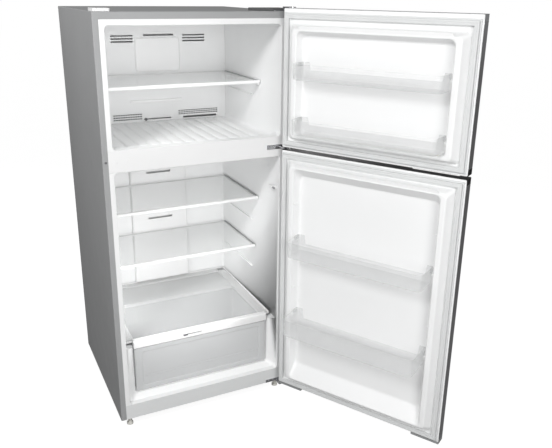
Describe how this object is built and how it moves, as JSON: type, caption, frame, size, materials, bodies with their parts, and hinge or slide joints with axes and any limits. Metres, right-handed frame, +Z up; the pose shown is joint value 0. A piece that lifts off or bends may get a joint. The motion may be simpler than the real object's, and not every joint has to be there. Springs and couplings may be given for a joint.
{
  "type": "top freezer refrigerator",
  "caption": "Two-door refrigerator with a freezer on top, both doors hinged on the right, sliding shelves, a crisper drawer and lift-off door bins.",
  "frame": {"origin": "on the floor, on the cabinet's centre line, directly below the plane of its front flange", "axes": "+X to the viewer's right facing the doors, +Y from the front flange into the cabinet, +Z up"},
  "size_m": [1.1346, 1.4048, 1.6945],
  "materials": {
    "cabinet_paint": "semi-gloss textured grey paint",
    "door_steel": "satin stainless-look steel",
    "galvanised_steel": "zinc-coated sheet",
    "frame_steel": "black-coated sheet steel",
    "foam": "rigid polyurethane foam",
    "white_liner": "glossy moulded plastic",
    "white_trim": "glossy moulded plastic",
    "panel_white": "white painted steel",
    "fin_aluminium": "bright rolled fins",
    "motor_grey": "matt moulded plastic",
    "shelf_glass": "clear tempered glass",
    "clear_plastic": "clear moulded styrene",
    "frosted_lens": "frosted diffuser",
    "hinge_steel": "zinc-plated steel",
    "cap_grey": "matt grey plastic",
    "cap_black": "matt black plastic",
    "gasket": "soft light grey magnetic seal",
    "compressor_black": "black baked enamel",
    "copper": "drawn copper tube",
    "nylon": "natural nylon"
  },
  "bodies": {
    "cabinet": {"cabinet_shell": "cabinet_paint", "cabinet_back": "galvanised_steel", "base_frame": "frame_steel", "cabinet_foam": "foam", "freezer_liner": "white_liner", "fridge_liner": "white_liner", "mullion_cover": "white_trim", "base_panel": "panel_white", "hole_plugs": "white_trim", "evaporator_cover": "white_trim", "evaporator": "fin_aluminium", "evaporator_fan_motor": "motor_grey", "air_duct": "white_trim", "lamp_lens": "frosted_lens", "light_switch_housing": "white_trim", "crisper_cover_glass": "shelf_glass", "crisper_cover_frame": "white_trim", "hinge_bracket_top": "hinge_steel", "hinge_bracket_middle": "hinge_steel", "hinge_bracket_bottom": "hinge_steel", "pivot_pins": "hinge_steel", "hinge_cover": "cap_grey", "hinge_screws": "hinge_steel", "compressor": "compressor_black", "drip_tray": "cap_black", "refrigerant_lines": "copper", "power_inlet": "cap_black"},
    "evaporator_fan": {"evaporator_fan": "motor_grey"},
    "cold_control": {"cold_control_knob": "motor_grey"},
    "freezer_shelf": {"freezer_shelf_glass": "shelf_glass", "freezer_shelf_frame": "white_trim"},
    "upper_shelf": {"upper_shelf_glass": "shelf_glass", "upper_shelf_frame": "white_trim"},
    "lower_shelf": {"lower_shelf_glass": "shelf_glass", "lower_shelf_frame": "white_trim"},
    "light_switch": {"light_switch_plunger": "motor_grey"},
    "humidity_control": {"humidity_slider": "motor_grey"},
    "crisper": {"crisper_drawer": "clear_plastic"},
    "left_foot": {"foot_left": "nylon"},
    "right_foot": {"foot_right": "nylon"},
    "left_roller": {"roller_left": "nylon"},
    "right_roller": {"roller_right": "nylon"},
    "freezer_door": {"freezer_door_skin": "door_steel", "freezer_door_liner": "white_liner", "freezer_door_foam": "foam", "freezer_door_gasket": "gasket", "freezer_door_top_cap": "cap_grey", "freezer_door_bottom_cap": "cap_black", "freezer_door_bushes": "nylon"},
    "freezer_bin_a": {"freezer_bin_upper": "clear_plastic"},
    "freezer_bin_b": {"freezer_bin_lower": "clear_plastic"},
    "fridge_door": {"fridge_door_skin": "door_steel", "fridge_door_liner": "white_liner", "fridge_door_foam": "foam", "fridge_door_gasket": "gasket", "fridge_door_top_cap": "cap_black", "fridge_door_bottom_cap": "cap_grey", "fridge_door_bushes": "nylon"},
    "fridge_bin_a": {"fridge_bin_upper": "clear_plastic"},
    "fridge_bin_b": {"fridge_bin_lower": "clear_plastic"}
  },
  "joints": [
    {"name": "freezer_door_hinge", "type": "hinge", "parent": "cabinet", "child": "freezer_door", "pos_m": [0.363, -0.04, 1.42], "axis": [0, 0, 1], "range_deg": [-120, 0]},
    {"name": "fridge_door_hinge", "type": "hinge", "parent": "cabinet", "child": "fridge_door", "pos_m": [0.363, -0.04, 0.6], "axis": [0, 0, 1], "range_deg": [-120, 0]},
    {"name": "freezer_shelf_slide", "type": "slide", "parent": "cabinet", "child": "freezer_shelf", "axis": [0, -1, 0], "range_m": [0, 0.19]},
    {"name": "upper_shelf_slide", "type": "slide", "parent": "cabinet", "child": "upper_shelf", "axis": [0, -1, 0], "range_m": [0, 0.19]},
    {"name": "lower_shelf_slide", "type": "slide", "parent": "cabinet", "child": "lower_shelf", "axis": [0, -1, 0], "range_m": [0, 0.19]},
    {"name": "crisper_drawer_slide", "type": "slide", "parent": "cabinet", "child": "crisper", "axis": [0, -1, 0], "range_m": [0, 0.3]},
    {"name": "humidity_slider_slide", "type": "slide", "parent": "cabinet", "child": "humidity_control", "axis": [1, 0, 0], "range_m": [0, 0.062]},
    {"name": "cold_control_slide", "type": "slide", "parent": "cabinet", "child": "cold_control", "axis": [1, 0, 0], "range_m": [0, 0.09]},
    {"name": "light_switch_press", "type": "slide", "parent": "cabinet", "child": "light_switch", "axis": [0, 1, 0], "range_m": [0, 0.0072]},
    {"name": "freezer_upper_bin_lift", "type": "slide", "parent": "freezer_door", "child": "freezer_bin_a", "axis": [0, 0, 1], "range_m": [0, 0.025]},
    {"name": "freezer_lower_bin_lift", "type": "slide", "parent": "freezer_door", "child": "freezer_bin_b", "axis": [0, 0, 1], "range_m": [0, 0.025]},
    {"name": "fridge_upper_bin_lift", "type": "slide", "parent": "fridge_door", "child": "fridge_bin_a", "axis": [0, 0, 1], "range_m": [0, 0.025]},
    {"name": "fridge_lower_bin_lift", "type": "slide", "parent": "fridge_door", "child": "fridge_bin_b", "axis": [0, 0, 1], "range_m": [0, 0.025]},
    {"name": "left_foot_turn", "type": "hinge", "parent": "cabinet", "child": "left_foot", "pos_m": [-0.341, 0.024, 0.01], "axis": [0, 0, 1], "continuous": true},
    {"name": "right_foot_turn", "type": "hinge", "parent": "cabinet", "child": "right_foot", "pos_m": [0.341, 0.024, 0.01], "axis": [0, 0, 1], "continuous": true},
    {"name": "left_roller_spin", "type": "hinge", "parent": "cabinet", "child": "left_roller", "pos_m": [-0.331, 0.66, 0.018], "axis": [1, 0, 0], "continuous": true},
    {"name": "right_roller_spin", "type": "hinge", "parent": "cabinet", "child": "right_roller", "pos_m": [0.331, 0.66, 0.018], "axis": [1, 0, 0], "continuous": true},
    {"name": "evaporator_fan_spin", "type": "hinge", "parent": "cabinet", "child": "evaporator_fan", "pos_m": [0.014, 0.611, 1.458], "axis": [0, 1, 0], "continuous": true}
  ],
  "couplings": [
    {"joint": "light_switch_press", "follows": "fridge_door_hinge", "m_per_rad": -0.0033423}
  ]
}
